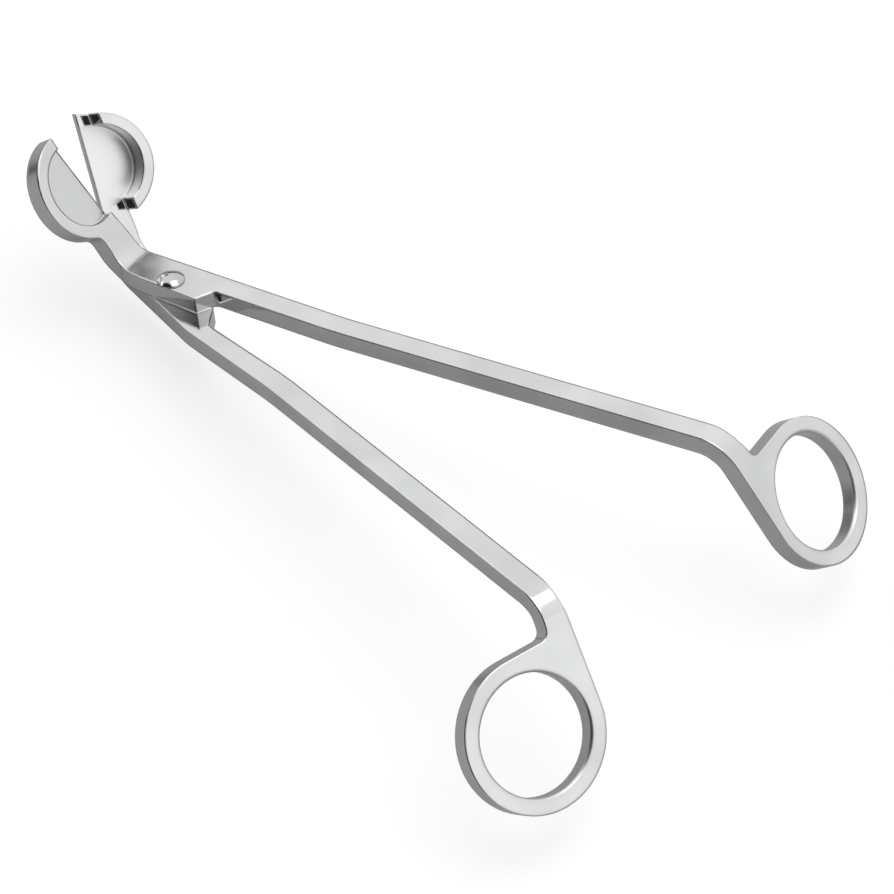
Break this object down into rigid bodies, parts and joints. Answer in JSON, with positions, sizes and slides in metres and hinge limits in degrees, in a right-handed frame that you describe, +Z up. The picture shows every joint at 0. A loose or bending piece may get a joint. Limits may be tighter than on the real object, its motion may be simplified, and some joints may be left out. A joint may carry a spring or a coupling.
{
  "type": "wick trimmer",
  "caption": "Polished metal candle wick trimmer: crossed levers with rounded cutting heads bent upwards and round finger rings bent downwards.",
  "frame": {"origin": "bottom centre of the bounding box, with the trimmer resting open on a table", "axes": "+X along the tool from the cutting heads to the finger rings, +Z up from the table, +Y from the lower lever's ring to the upper lever's ring"},
  "size_m": [0.1768, 0.1098, 0.0297],
  "materials": {
    "polished_chrome": "polished"
  },
  "bodies": {
    "lower": {"lower_lever": "polished_chrome", "pivot_rivet": "polished_chrome", "rivet_washer": "polished_chrome"},
    "upper": {"upper_lever": "polished_chrome"}
  },
  "joints": [
    {"name": "rivet_hinge", "type": "hinge", "parent": "lower", "child": "upper", "pos_m": [-0.05235, -0.00019, 0.00606], "axis": [-0.1774, 0.034, 0.9835], "range_deg": [-14.5, 25]}
  ]
}
